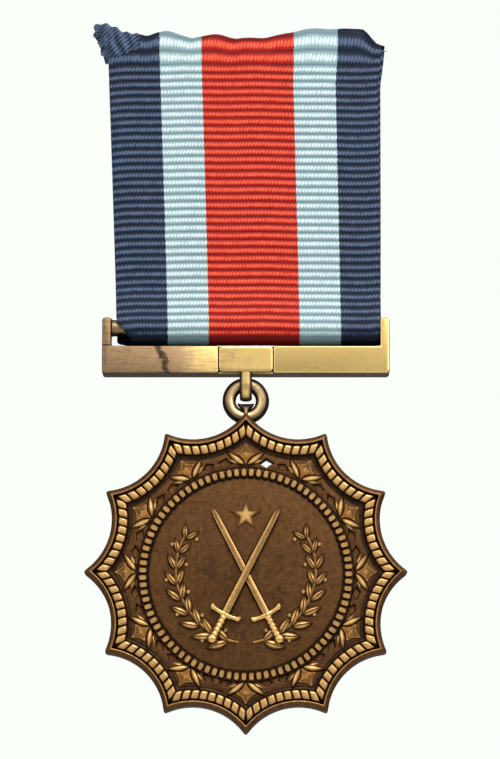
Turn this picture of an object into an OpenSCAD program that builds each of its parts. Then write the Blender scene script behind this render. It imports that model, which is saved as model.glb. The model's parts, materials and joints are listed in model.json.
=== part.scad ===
// A military service medal: a striped ribbon looped through a bar suspender, and a
// twelve-pointed bronze star that hangs from the bar by a strap hanger, a ring and an eyelet.
// Millimetres, +Z up, front towards -Y. The origin is in the middle of the flat back of the hem,
// where the medal is pinned or sewn on; everything hangs below it.

/* [Ribbon] */
// Width of the ribbon
ribbon_w = 32; // [28:0.5:36]
// Thickness of the woven ribbon
ribbon_t = 0.5; // [0.4:0.05:0.6]
// Length from the top fold down to the axis of the rail
ribbon_drop = 35.2; // [28:0.2:45]
// Height of the hem turned over behind the top
hem_h = 9; // [7:0.5:12]
// Thickness of the sewing thread
thread_t = 0.25; // [0.2:0.05:0.3]
// Number of stitches across the hem
stitches = 13; // [9:2:15]

/* [Suspender] */
// Diameter of the rail inside the ribbon's fold
rail_d = 2; // [1.6:0.1:2.3]
// Width of the cheek at each end
cheek_w = 1.1; // [0.9:0.1:1.6]
// Thickness from front to back
frame_t = 3.2; // [2.8:0.1:3.8]
// Height of the frame, from the top of the cheeks to the underside of the bar
frame_h = 6.84; // [6.5:0.02:8]
// Height of the lower bar
bar_h = 3.34; // [2.6:0.02:3.6]

/* [Hanger and ring] */
// Width of the strap's head on the face of the bar
head_w = 6.5; // [5:0.1:8]
// Width of the strap's loop
strap_w = 1.05; // [0.8:0.05:1.2]
// Diameter of the ring's wire
ring_wire_d = 1.65; // [1.4:0.05:1.7]
// Diameter of the hole in the ring
ring_hole_d = 2.35; // [2.3:0.05:2.8]
// Width of the eyelet behind the top point of the star
eyelet_w = 1.1; // [0.8:0.05:1.15]

/* [Star] */
// Number of points
points = 12; // [10:1:14]
// Radius to the tips of the points
tip_r = 19.4; // [18:0.2:22]
// Radius to the bottoms of the scallops between the points
valley_r = 16.8; // [15.8:0.1:17.4]
// Thickness of the star at its rim
star_t = 2.8; // [2.6:0.1:3.2]
// Width of the plain rim
rim_w = 0.85; // [0.7:0.05:1.1]
// Width of the rope border inside the rim
rope_w = 1.1; // [0.9:0.05:1.3]

/* [Medallion] */
// Radius of the medallion
medallion_r = 12.8; // [12:0.1:13.2]
// Width of its beaded edge
bead_w = 1.1; // [0.9:0.05:1.3]
// Height of the raised field inside it
dome_h = 0.5; // [0.3:0.05:0.7]
// Length of each of the crossed swords
sword_l = 18.4; // [15:0.2:20]

/* [Hidden] */
$fn = 72;

layer_gap = 0.03;      // air between two layers of ribbon that lie together
run_gap = 0.05;        // running clearance of the fold on the rail
joint_gap = 0.03;      // clearance of a soldered or sewn piece in its seat
side_gap = 0.2;        // between each selvedge and the cheek beside it

// The hem: four layers lie together, and the two inner ones turn inside the two outer ones.
hem_r = 2 * ribbon_t + 1.5 * layer_gap;
layer_pitch = ribbon_t + layer_gap;
hang_y = -hem_r - layer_pitch;             // the plane that everything hangs in
top_z = hem_h / 2;
rail_z = top_z - ribbon_drop;
taper_h = 5;                               // where the two layers have come together
stitch_z = top_z - 0.72 * hem_h;
stitch_pitch = 0.9 * ribbon_w / (stitches - 1);

// The suspender frame, measured from the axis of the rail.
slot_w = ribbon_w + 2 * side_gap;
frame_w = slot_w + 2 * cheek_w;
frame_top = 1.06;
frame_bottom = frame_top - frame_h;
bar_top = frame_bottom + bar_h;
corner_r = 0.4;

// The strap, ring and eyelet. Forward distances are measured from the hanging plane.
strap_t = 0.6;
strap_in = ring_wire_d / 2 + 0.175;        // the loop stands clear of the ring's wire
strap_out = strap_in + strap_t;
head_proud = 0.1;
ring_r = (ring_hole_d + ring_wire_d) / 2;
ring_out = ring_r + ring_wire_d / 2;
ring_drop = 0.34;                          // from the underside of the bar to the ring's top
ring_z = rail_z + frame_bottom - ring_drop - ring_out;
strap_z = ring_z + ring_r;                 // the ring swings about this line
eyelet_z = ring_z - ring_r;
eyelet_in = ring_wire_d / 2 + 0.225;
eyelet_t = 0.45;
neck_w = 0.45;

// The star, in levels forward of the hanging plane.
tip_below_ring = 1.45;                     // from the ring's centre down to the star's top tip
star_z = ring_z - tip_below_ring - tip_r;
star_front = 1.7;
star_back = star_front - star_t;
rope_level = star_front - 0.2;
field_level = star_front - 1.0;
leaf_level = star_front - 0.45;
back_recess = 0.4;
skin_level = ring_wire_d / 2 + 0.1;        // the point is hollow behind this, for the ring
chord = tip_r * sin(180 / points);
sagitta = tip_r * cos(180 / points) - valley_r;
scallop_r = (chord * chord + sagitta * sagitta) / (2 * sagitta);
scallop_c = valley_r + scallop_r;
motif_in = medallion_r + 0.25;             // the leaf motifs stand between here
motif_out = valley_r - rim_w - rope_w - 0.15;
motif_w = 4.6;

// The medallion sits a little low on the star.
medallion_z = -0.25;
seat_level = 0.1;
disc_level = 0.75;
dome_r = medallion_r - bead_w;
device_level = disc_level + dome_h + 0.55;
laurel_level = disc_level + dome_h + 0.25;
laurel_r = 8.6;
laurel_leaves = 9;
sword_lean = 27;

// Extrudes a shape drawn in (Y, Z) across the width, centred on X = 0.
module across(w) {
    translate([-w / 2, 0, 0]) rotate([90, 0, 90]) linear_extrude(w) children();
}

// Stands a shape modelled in (X, Z, forward) upright in the hanging plane.
module upright(z) {
    translate([0, hang_y, z]) rotate([90, 0, 0]) children();
}

// Extrudes a shape between two levels.
module slab(from, to) {
    translate([0, 0, from]) linear_extrude(to - from) children();
}

// A round fold that tapers upwards, tangent to its circle, to a narrow neck.
module drop_shape(r, half, h) {
    far = sqrt(half * half + h * h);
    a = atan2(h, half) - acos(r / far);
    circle(r);
    polygon([[r * cos(a), r * sin(a)], [half, h], [-half, h], [-r * cos(a), r * sin(a)], [0, 0]]);
}

// The ribbon's edge, seen from its side: down the front, round the rail, up behind, and over.
module ribbon_profile() {
    half = ribbon_t + layer_gap / 2;
    fold_r = rail_d / 2 + run_gap;
    hem_c = top_z - hem_r;
    difference() {
        union() {
            translate([hang_y, rail_z]) drop_shape(fold_r + ribbon_t, half, taper_h);
            translate([hang_y - half, rail_z + taper_h]) square([2 * half, hem_c - rail_z - taper_h]);
            translate([-2 * hem_r, top_z - hem_h]) square([2 * hem_r, hem_h - hem_r]);
            translate([-hem_r, hem_c]) circle(hem_r);
        }
        translate([hang_y, rail_z]) drop_shape(fold_r, layer_gap / 2, taper_h);
        translate([hang_y - layer_gap / 2, rail_z + taper_h - 0.01])
            square([layer_gap, hem_c - rail_z - taper_h + 0.01]);
        translate([-hem_r, hem_c]) intersection() {
            difference() {
                circle(ribbon_t + 1.5 * layer_gap);
                circle(ribbon_t + layer_gap / 2);
            }
            translate([-hem_r, 0]) square([2 * hem_r, hem_r]);
        }
        for (side = [0, 1])
            translate([-ribbon_t - layer_gap - side * layer_pitch, top_z - hem_h - 0.01])
                square([layer_gap, hem_h - hem_r + 0.01]);
    }
}

// A blind running stitch, drawn in (X, Y): long behind, and short inside the front layer.
module stitch_path(grow) {
    half = stitch_pitch * 0.31;
    front = -2 * hem_r + ribbon_t / 2;
    for (i = [0:stitches - 1]) translate([(i - (stitches - 1) / 2) * stitch_pitch, 0]) {
        for (side = [-1, 1]) translate([side * half - thread_t / 2 - grow, front - grow])
            square([thread_t + 2 * grow, grow - front]);
        translate([-half - thread_t / 2 - grow, -thread_t - grow])
            square([2 * half + thread_t + 2 * grow, thread_t + grow]);
        if (i < stitches - 1) translate([half - thread_t / 2 - grow, front - grow])
            square([stitch_pitch - 2 * half + thread_t + 2 * grow, thread_t + 2 * grow]);
    }
}

module stitches_solid(grow) {
    translate([0, 0, stitch_z - thread_t / 2 - grow]) linear_extrude(thread_t + 2 * grow)
        stitch_path(grow);
}

module ribbon() {
    color("midnightblue") difference() {
        across(ribbon_w) ribbon_profile();
        stitches_solid(joint_gap);
    }
}

module ribbon_stitching() {
    color("slategray") stitches_solid(0);
}

module rounded_rect(w, h, r) {
    translate([0, r]) square([w, h - 2 * r]);
    translate([r, 0]) square([w - 2 * r, h]);
    for (x = [r, w - r], y = [r, h - r]) translate([x, y]) circle(r);
}

// Two cheeks joined by a round rail above and a flat bar below.
module suspender_frame() {
    color([0.62, 0.47, 0.25]) upright(rail_z) {
        difference() {
            translate([-frame_w / 2, frame_bottom, -frame_t / 2])
                linear_extrude(frame_t) rounded_rect(frame_w, frame_h, corner_r);
            translate([-slot_w / 2, bar_top, -frame_t]) cube([slot_w, frame_h, 2 * frame_t]);
            translate([-head_w / 2 - joint_gap, frame_bottom - 1, strap_in - joint_gap])
                cube([head_w + 2 * joint_gap, frame_h, strap_t + 1]);
            translate([-strap_w / 2 - joint_gap, frame_bottom - 1, -strap_out - 1])
                cube([strap_w + 2 * joint_gap, frame_h, strap_t + 1 + joint_gap]);
        }
        translate([-slot_w / 2 - 0.1, 0, 0]) rotate([0, 90, 0]) cylinder(d = rail_d, h = slot_w + 0.2);
    }
}

// A T-shaped strap: its head lies in the bar's face, and its leg loops under the ring's wire.
module hanger_strap() {
    bar_low = rail_z + frame_bottom;
    color([0.72, 0.58, 0.34]) {
        translate([-head_w / 2, hang_y - strap_out - head_proud, bar_low])
            cube([head_w, strap_t + head_proud, bar_h]);
        across(strap_w) translate([hang_y, strap_z]) difference() {
            union() {
                circle(strap_out);
                translate([-strap_out, 0]) square([2 * strap_out, bar_low + bar_h - strap_z]);
            }
            circle(strap_in);
            translate([-strap_in, 0]) square([2 * strap_in, 2 * frame_h]);
        }
    }
}

module suspension_ring() {
    color([0.55, 0.42, 0.24]) upright(ring_z)
        rotate_extrude() translate([ring_r, 0]) circle(d = ring_wire_d);
}

// The hollow behind the top point, where the ring hangs and turns.
module ring_notch() {
    translate([0, ring_z - star_z, star_back - 1])
        cylinder(r = ring_out + 0.25, h = skin_level - star_back + 1);
}

// A strap bent round the ring's wire and brazed to the hollow back of the top point.
module star_eyelet() {
    far = eyelet_in + eyelet_t;
    color([0.5, 0.37, 0.2]) difference() {
        across(eyelet_w) translate([hang_y, eyelet_z]) difference() {
            circle(far);
            circle(eyelet_in);
        }
        for (side = [-1, 1]) translate([side * (eyelet_w + neck_w) / 2, hang_y - skin_level - far, eyelet_z])
            cube([eyelet_w, 2 * far, 4 * far], center = true);
        translate([-eyelet_w, hang_y - 2 * far, eyelet_z - 2 * far])
            cube([2 * eyelet_w, 2 * far, 2 * far]);
        upright(star_z) star_body();
    }
}

// The outline with its scallops, moved in by inset all round.
module star_shape(inset) {
    difference() {
        circle(tip_r, $fn = 120);
        for (i = [0:points - 1]) rotate(90 + (i + 0.5) * 360 / points)
            translate([scallop_c, 0]) circle(scallop_r + inset, $fn = 120);
    }
}

// A bud between two spread leaves, pointing along +Y from the beaded ring.
module leaf_motif() {
    span = motif_out - motif_in;
    translate([0, motif_in]) {
        polygon([[-0.5, 0], [0.5, 0], [0.8, span * 0.45], [0, span], [-0.8, span * 0.45]]);
        for (side = [-1, 1]) polygon([[0, 0.2], [side * motif_w * 0.34, 0.35],
            [side * motif_w / 2, span * 0.74], [side * motif_w * 0.2, span * 0.6]]);
    }
}

module star_body() {
    difference() {
        union() {
            slab(star_back, field_level) star_shape(0);
            slab(field_level - 0.1, star_front) difference() {
                star_shape(0);
                star_shape(rim_w);
            }
            slab(field_level - 0.1, rope_level) difference() {
                star_shape(rim_w - 0.1);
                star_shape(rim_w + rope_w);
            }
            for (i = [0:points - 1]) rotate(i * 360 / points)
                slab(field_level - 0.1, leaf_level) leaf_motif();
        }
        slab(star_back - 1, star_back + back_recess) star_shape(1.6);
        translate([0, medallion_z]) slab(seat_level, star_front + 1) circle(medallion_r + joint_gap);
        ring_notch();
        // Two pierced diamonds beside the top motif: the left one is blind, the right one open.
        for (side = [-1, 1]) translate([side * 2.4, motif_in + 0.1])
            slab(side > 0 ? star_back - 1 : 0.15, star_front)
                polygon([[-0.87, -0.05], [0, -0.55], [0.87, 0.05], [0, 0.55]]);
    }
}

module star_plate() {
    color([0.45, 0.33, 0.18]) upright(star_z) star_body();
}

// A straight sword lying along +Y, its hilt at the bottom.
module sword() {
    hilt = sword_l * 0.24;
    translate([0, -sword_l * 0.46]) {
        translate([-0.3, 0.3]) square([0.6, hilt - 0.3]);
        translate([0, 0.35]) circle(0.5);
        translate([-1.35, hilt - 0.3]) square([2.7, 0.5]);
        polygon([[-0.5, hilt], [0.5, hilt], [0.42, sword_l - 1.2], [0, sword_l], [-0.42, sword_l - 1.2]]);
    }
}

// A pointed leaf along +Y.
module leaf(l, w) {
    polygon([[-w * 0.2, 0], [w * 0.2, 0], [w / 2, l * 0.45], [0, l], [-w / 2, l * 0.45]]);
}

// One laurel branch: a curved stem with leaves on both sides.
module laurel_branch() {
    step = 122 / laurel_leaves;
    rotate(-80) stem_arc(step * (laurel_leaves - 0.5));
    for (i = [0:laurel_leaves - 1], side = [-1, 1])
        rotate(-78 + (i + side * 0.12) * step) translate([laurel_r + side * 0.05, 0])
            rotate(-side * 38) leaf(2.3, 0.95);
}

// The stem's plan: a thin ring cut to an angle.
module stem_arc(angle) {
    difference() {
        circle(laurel_r + 0.16);
        circle(laurel_r - 0.16);
        rotate(angle) translate([-20, 0]) square([40, 20]);
        translate([-20, -20]) square([40, 20]);
    }
}

module five_point_star(r) {
    polygon([for (i = [0:9]) let (q = i % 2 == 0 ? r : r * 0.42) [q * sin(i * 36), q * cos(i * 36)]]);
}

module centre_medallion() {
    color([0.5, 0.37, 0.2]) upright(star_z + medallion_z) {
        slab(seat_level, disc_level) circle(medallion_r);
        slab(disc_level - 0.1, disc_level + dome_h) circle(dome_r);
        translate([0, 0, disc_level - 0.1])
            rotate_extrude() translate([medallion_r - bead_w / 2, 0]) circle(d = bead_w - 0.1);
        for (side = [0, 1]) mirror([side, 0, 0]) {
            slab(disc_level - 0.2, device_level - 0.15 * side) rotate(sword_lean) sword();
            slab(disc_level - 0.2, laurel_level) laurel_branch();
        }
        slab(disc_level - 0.2, device_level - 0.1) translate([0, 7.2]) five_point_star(1.9);
    }
}

ribbon();
ribbon_stitching();
suspender_frame();
hanger_strap();
suspension_ring();
star_eyelet();
star_plate();
centre_medallion();
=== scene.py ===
"""The looks of a service medal: a striped ribbon, a bar suspender, and a twelve-pointed bronze star.

Shapes are worked out in millimetres. On the star, a point is (x, up from the centre, level), where
level counts forward from the plane that everything hangs in.
"""

import json
import math

import bmesh
import bpy
import numpy as np
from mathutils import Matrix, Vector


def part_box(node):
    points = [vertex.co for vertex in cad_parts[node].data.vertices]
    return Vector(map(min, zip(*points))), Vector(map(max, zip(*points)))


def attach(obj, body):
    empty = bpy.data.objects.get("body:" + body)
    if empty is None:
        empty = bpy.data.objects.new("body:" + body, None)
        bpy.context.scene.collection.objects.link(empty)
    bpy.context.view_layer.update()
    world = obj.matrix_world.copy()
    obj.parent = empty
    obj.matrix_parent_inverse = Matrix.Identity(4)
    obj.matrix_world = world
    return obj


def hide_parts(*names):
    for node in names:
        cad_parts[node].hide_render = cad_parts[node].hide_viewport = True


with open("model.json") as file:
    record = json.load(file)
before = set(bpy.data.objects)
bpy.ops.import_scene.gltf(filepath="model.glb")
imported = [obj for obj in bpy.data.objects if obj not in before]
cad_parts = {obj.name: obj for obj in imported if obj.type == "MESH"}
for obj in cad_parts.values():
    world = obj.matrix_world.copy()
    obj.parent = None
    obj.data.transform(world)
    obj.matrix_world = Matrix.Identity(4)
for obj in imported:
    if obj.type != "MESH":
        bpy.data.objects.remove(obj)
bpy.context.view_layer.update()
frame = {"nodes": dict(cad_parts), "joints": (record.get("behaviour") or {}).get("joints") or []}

MM = 0.001
TAU = 2 * math.pi


def corners_mm(node):
    """The lowest and highest corner of a CAD node, in millimetres."""
    low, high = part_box(node)
    return np.array(low) / MM, np.array(high) / MM


joint_at = {j["name"]: np.array(j["pos_m"]) / MM for j in frame["joints"]}
RAIL = joint_at["suspender_swing"]
STRAP = joint_at["ring_swing"]
RING = joint_at["star_tilt"]
HANG_Y = RAIL[1]

# The ribbon: four layers of cloth lie together in the hem.
ribbon_low, ribbon_high = corners_mm("ribbon")
RIBBON_W = ribbon_high[0] - ribbon_low[0]
CLOTH_T = 0.5
LAYER_GAP = 0.03
HEM_H = 2 * ribbon_high[2]
RIB = 0.95
RIB_DEPTH = 0.13
FOLD_R = 1.3
FOLD_SLACK = 0.56
TAPER_H = 5.0
CORNER_Y = HANG_Y - 0.05
STRIPES = (-9.75, -4.7, 6.25, 11.2)
NAVY_X = -13.5

# The suspender, its strap and the ring.
frame_low, frame_high = corners_mm("suspender_frame")
head_low, head_high = corners_mm("hanger_strap")
ring_low, ring_high = corners_mm("suspension_ring")
WIRE_R = (ring_high[1] - ring_low[1]) / 2
RING_R = RING[2] - WIRE_R - ring_low[2]
BAR_TOP = head_high[2]
STRAP_T = 0.6
STRAP_W = 1.05
STRAP_LEG_W = 1.4 * STRAP_W
STRAP_SAG = 1.36
HEAD_MARGIN = 0.07
EYELET_T = 0.45
EYELET_GAP = 0.225
EYELET_W = 1.08

# The star.
star_low, star_high = corners_mm("star_plate")
POINTS = 12
TIP_R = (star_high[0] - star_low[0]) / 2
STAR_Z = star_low[2] + TIP_R
STAR_FRONT = HANG_Y - star_low[1]
STAR_BACK = HANG_Y - star_high[1]
VALLEY_R = 16.8
SECTOR = TAU / POINTS
half_chord = TIP_R * math.sin(SECTOR / 2)
sagitta = TIP_R * math.cos(SECTOR / 2) - VALLEY_R
SCALLOP_R = (half_chord**2 + sagitta**2) / (2 * sagitta)
SCALLOP_C = VALLEY_R + SCALLOP_R
RIM_W = 0.72
ROPE_W = 1.26
FIELD = STAR_FRONT - 1.0
ROPE_BED = STAR_FRONT - 0.62
ROPE_STRANDS = 9
SKIN = WIRE_R + 0.1
NOTCH_R = RING_R + WIRE_R + 0.25
PIERCE_X = 2.45
PIERCE_Y = 13.15
FIELD_STEPS = 26

# The medallion, which sits a little low on the star.
disc_low, disc_high = corners_mm("centre_medallion")
DISC_R = (disc_high[0] - disc_low[0]) / 2
DISC_Z = (disc_low[2] + disc_high[2]) / 2
DISC_BACK = HANG_Y - disc_high[1]
DISC_TOP = DISC_BACK + 0.65
DOME_H = 0.5
BEADS = 87
BEAD_BAND = 1.1
DOME_R = DISC_R - BEAD_BAND

# The raised device.
SWORD_L = 18.4
SWORD_LEAN = math.radians(27)
LAUREL_R = 8.3
LEAF_PAIRS = 9
SMALL_STAR_Y = 7.0


# ---------------------------------------------------------------- mesh helpers


def grid_quads(rows, columns, wrap_rows=False, wrap_columns=False):
    """The quads between neighbours in a rows x columns grid of points, which may join up either way."""
    r = np.arange(rows if wrap_rows else rows - 1)[:, None]
    c = np.arange(columns if wrap_columns else columns - 1)[None, :]
    r_next, c_next = (r + 1) % rows, (c + 1) % columns
    corners = [r * columns + c, r * columns + c_next, r_next * columns + c_next, r_next * columns + c]
    return np.stack(np.broadcast_arrays(*corners), -1).reshape(-1, 4)


def shell(points, quads, wear=0.5, **more):
    """A closed surface: its points in millimetres, its quads, and how worn each point is, 0 to 1."""
    points = np.asarray(points, float).reshape(-1, 3)
    values = {"wear": wear, **more}
    spread = {k: np.broadcast_to(np.asarray(v, float), np.shape(v) or (len(points),)).reshape(-1)
              for k, v in values.items()}
    return {"points": points, "quads": quads, "values": spread}


def capped(points, rows, columns, wear=0.5):
    """A grid whose columns join up, with its first and last row each drawn to a point in its middle."""
    grid = np.asarray(points, float).reshape(rows, columns, 3)
    ends = [np.repeat(grid[i].mean(0)[None, None], columns, 1) for i in (0, -1)]
    grid = np.concatenate([ends[0], grid, ends[1]])
    wear = np.broadcast_to(wear, (rows, columns))
    wear = np.concatenate([wear[:1], wear, wear[-1:]])
    return shell(grid, grid_quads(rows + 2, columns, wrap_columns=True), wear)


def closed_mesh(name, shells):
    """Joins closed shells into one mesh with their values, its doubles merged and its faces outwards."""
    starts = np.cumsum([0] + [len(s["points"]) for s in shells[:-1]])
    points = np.concatenate([s["points"] for s in shells]) * MM
    quads = np.concatenate([s["quads"] + start for s, start in zip(shells, starts)])
    mesh = bpy.data.meshes.new(name)
    mesh.from_pydata(points.tolist(), [], quads.tolist())
    for key in shells[0]["values"]:
        layer = mesh.attributes.new(key, "FLOAT", "POINT")
        layer.data.foreach_set("value", np.concatenate([s["values"][key] for s in shells]))
    bm = bmesh.new()
    bm.from_mesh(mesh)
    bmesh.ops.remove_doubles(bm, verts=bm.verts, dist=2e-7)
    bmesh.ops.dissolve_degenerate(bm, edges=bm.edges, dist=1e-8)
    bmesh.ops.recalc_face_normals(bm, faces=bm.faces)
    bm.to_mesh(mesh)
    bm.free()
    return mesh


def add_object(name, data):
    """Puts a mesh, a light or a camera into the scene."""
    made = bpy.data.objects.new(name, data)
    bpy.context.scene.collection.objects.link(made)
    return made


def make_piece(name, shells, material, body, stands_for=(), sharp=38):
    """One piece of the medal from closed shells."""
    return finish_piece(name, closed_mesh(name, shells), material, body, stands_for, sharp)


def finish_piece(name, mesh, material, body, stands_for=(), sharp=38, bevel=None):
    """Makes a mesh a piece that rides on a body and takes a material slot. It is shaded smooth but for
    edges sharper than an angle, or has its edges rounded instead where a bevel is given."""
    mesh.polygons.foreach_set("use_smooth", [True] * len(mesh.polygons))
    if bevel is None:
        mesh.set_sharp_from_angle(angle=math.radians(sharp))
    mesh.materials.clear()
    mesh.materials.append(material)
    piece = add_object(name, mesh)
    if bevel:
        rounding = piece.modifiers.new("rounding", "BEVEL")
        rounding.width = bevel * MM
        rounding.segments = 3
        rounding.limit_method = "ANGLE"
        rounding.angle_limit = math.radians(30)
        rounding.use_clamp_overlap = False
        rounding.harden_normals = True
    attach(piece, body)
    if stands_for:
        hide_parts(*stands_for)
    return piece


def on_star(points, centre_z=STAR_Z):
    """Turns points given as (x, up, level) about a centre into places in the shared frame."""
    points = np.asarray(points, float)
    return np.stack([points[..., 0], HANG_Y - points[..., 2], centre_z + points[..., 1]], -1)


def turned(points, angle):
    """Turns (x, up, level) points anticlockwise about the centre."""
    c, s = math.cos(angle), math.sin(angle)
    x, y = points[..., 0] * c - points[..., 1] * s, points[..., 0] * s + points[..., 1] * c
    return np.stack([x, y, points[..., 2]], -1)


def smooth(low, high, x):
    """0 at low, 1 at high, and an S-curve between, whichever of the two is the larger."""
    t = np.clip((x - low) / (high - low), 0, 1)
    return t * t * (3 - 2 * t)


def grid_of(*parts):
    """One grid of points from its x, y and z, each stretched to the same rows and columns."""
    return np.stack(np.broadcast_arrays(*parts), -1)


def with_floor(grid, wear, level):
    """Gives a relief an unworn underside: its last and first place across, repeated down at a level."""
    floor = grid[:, [-1, 0]].copy()
    floor[..., 2] = level
    return np.concatenate([grid, floor], 1), np.concatenate([wear, np.zeros((len(wear), 2))], 1)


def unit_slope(path):
    """The direction of travel at each point of a path, of length one."""
    slope = np.gradient(path, axis=0)
    return slope / np.linalg.norm(slope, axis=1)[:, None]


def swept(path, across, up, profile, scale=1.0, wear=0.6):
    """Carries a closed profile (a, b) along a path and caps both ends:
    point = path + across * a * scale + up * b."""
    path, across, up = (np.asarray(v, float)[:, None, :] for v in (path, across, up))
    scale = np.broadcast_to(scale, len(path))[:, None, None]
    a, b = (profile[None, :, k, None] for k in (0, 1))
    points = path + across * a * scale + up * b
    return capped(points, len(path), len(profile), wear)


def rounded_profile(w, h, r, steps=4):
    """The outline of a w x h rectangle with corners rounded to r, anticlockwise from the lower right."""
    angle = np.linspace(0, math.pi / 2, steps)
    parts = []
    for k, (x, y) in enumerate([(1, 1), (-1, 1), (-1, -1), (1, -1)]):
        turn = angle + k * math.pi / 2
        parts.append(np.stack([x * (w / 2 - r) + r * np.cos(turn), y * (h / 2 - r) + r * np.sin(turn)], -1))
    return np.concatenate(parts)


# ------------------------------------------------------------------- materials


class Nodes:
    """A short way to lay out and link shader nodes."""

    def __init__(self, tree):
        self.tree = tree

    def add(self, kind, **settings):
        made = self.tree.nodes.new(kind)
        for key, value in settings.items():
            setattr(made, key, value)
        return made

    def wire(self, source, target):
        self.tree.links.new(source, target)

    def feed(self, socket, value):
        if isinstance(value, bpy.types.NodeSocket):
            self.wire(value, socket)
        else:
            socket.default_value = value

    def math(self, operation, *values, clamp=False):
        made = self.add("ShaderNodeMath", operation=operation, use_clamp=clamp)
        for socket, value in zip(made.inputs, values):
            self.feed(socket, value)
        return made.outputs[0]

    def mix(self, share, a, b):
        made = self.add("ShaderNodeMix", data_type="RGBA", blend_type="MIX")
        for name, value in (("Factor", share), ("A", a), ("B", b)):
            socket = next(s for s in made.inputs if s.name == name and s.enabled)
            self.feed(socket, value)
        return next(s for s in made.outputs if s.enabled)

    def span(self, value, low, high, to_low=0.0, to_high=1.0):
        """An S-curve from to_low at low to to_high at high."""
        made = self.add("ShaderNodeMapRange", interpolation_type="SMOOTHSTEP")
        for name, v in (("Value", value), ("From Min", low), ("From Max", high),
                        ("To Min", to_low), ("To Max", to_high)):
            self.feed(made.inputs[name], v)
        return made.outputs["Result"]

    def noise(self, where, scale, detail=3.0, roughness=0.55, stretch=None):
        if stretch:
            mapping = self.add("ShaderNodeMapping")
            mapping.inputs["Scale"].default_value = stretch
            self.wire(where, mapping.inputs["Vector"])
            where = mapping.outputs["Vector"]
        made = self.add("ShaderNodeTexNoise")
        self.wire(where, made.inputs["Vector"])
        made.inputs["Scale"].default_value = scale
        made.inputs["Detail"].default_value = detail
        made.inputs["Roughness"].default_value = roughness
        return made.outputs["Fac"]

    def attribute(self, name):
        return self.add("ShaderNodeAttribute", attribute_name=name).outputs["Fac"]

    def place(self):
        return self.add("ShaderNodeTexCoord").outputs["Object"]


def new_material(name):
    material = bpy.data.materials.new(name)
    material.use_nodes = True
    nodes = Nodes(material.node_tree)
    shader = material.node_tree.nodes["Principled BSDF"]
    return material, nodes, shader


def new_group(name, inputs, outputs):
    """A shader node group with named sockets: {name: (kind, default)} in, {name: kind} out."""
    group = bpy.data.node_groups.new(name, "ShaderNodeTree")
    for key, (kind, default) in inputs.items():
        socket = group.interface.new_socket(key, in_out="INPUT", socket_type=kind)
        socket.default_value = default
    for key, kind in outputs.items():
        group.interface.new_socket(key, in_out="OUTPUT", socket_type=kind)
    nodes = Nodes(group)
    source, target = nodes.add("NodeGroupInput"), nodes.add("NodeGroupOutput")
    return group, nodes, source.outputs, target.inputs


def patina_group():
    """Antique bronze: dark in the hollows, brown on open ground, golden where it is rubbed."""
    group, n, given, out = new_group(
        "antique_patina",
        {"Wear": ("NodeSocketFloat", 0.5), "Hollow": ("NodeSocketColor", (0.03, 0.018, 0.01, 1)),
         "Ground": ("NodeSocketColor", (0.15, 0.08, 0.035, 1)),
         "Rubbed": ("NodeSocketColor", (0.6, 0.4, 0.17, 1)), "Scale": ("NodeSocketFloat", 1000.0)},
        {"Color": "NodeSocketColor", "Roughness": "NodeSocketFloat", "Height": "NodeSocketFloat"},
    )
    place = n.place()
    scaled = n.add("ShaderNodeVectorMath", operation="SCALE")
    n.wire(place, scaled.inputs[0])
    n.wire(given["Scale"], scaled.inputs["Scale"])
    place = scaled.outputs[0]
    cloud = n.noise(place, 0.35, 4)
    mottle = n.noise(place, 1.6, 5, 0.65)
    fine = n.noise(place, 9.0, 3, 0.7)
    scratch = n.noise(place, 1.5, 3, 0.6, stretch=(0.6, 1, 7))
    uneven = n.math("ADD", n.math("MULTIPLY", n.math("SUBTRACT", mottle, 0.5), 0.3),
                    n.math("MULTIPLY", n.math("SUBTRACT", fine, 0.5), 0.3))
    worn = n.math("ADD", given["Wear"], uneven)
    ground = n.span(worn, 0.12, 0.42)
    rubbed = n.span(worn, 0.5, 0.95)
    open_ground = n.mix(n.span(cloud, 0.35, 0.7, 0.0, 0.18), given["Ground"], given["Hollow"])
    color = n.mix(ground, given["Hollow"], open_ground)
    color = n.mix(rubbed, color, given["Rubbed"])
    speck = n.math("MULTIPLY", n.span(n.noise(place, 5.5, 1), 0.76, 0.8), 0.5)
    color = n.mix(speck, color, given["Rubbed"])
    n.wire(color, out["Color"])
    rough = n.math("ADD", n.math("MULTIPLY", rubbed, -0.16), n.math("MULTIPLY", mottle, 0.22))
    n.wire(n.math("ADD", rough, 0.36, clamp=True), out["Roughness"])
    height = n.math("ADD", n.math("MULTIPLY", fine, 0.4), n.math("MULTIPLY", mottle, 0.6))
    n.wire(n.math("ADD", height, n.math("MULTIPLY", scratch, 0.35)), out["Height"])
    return group


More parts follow.
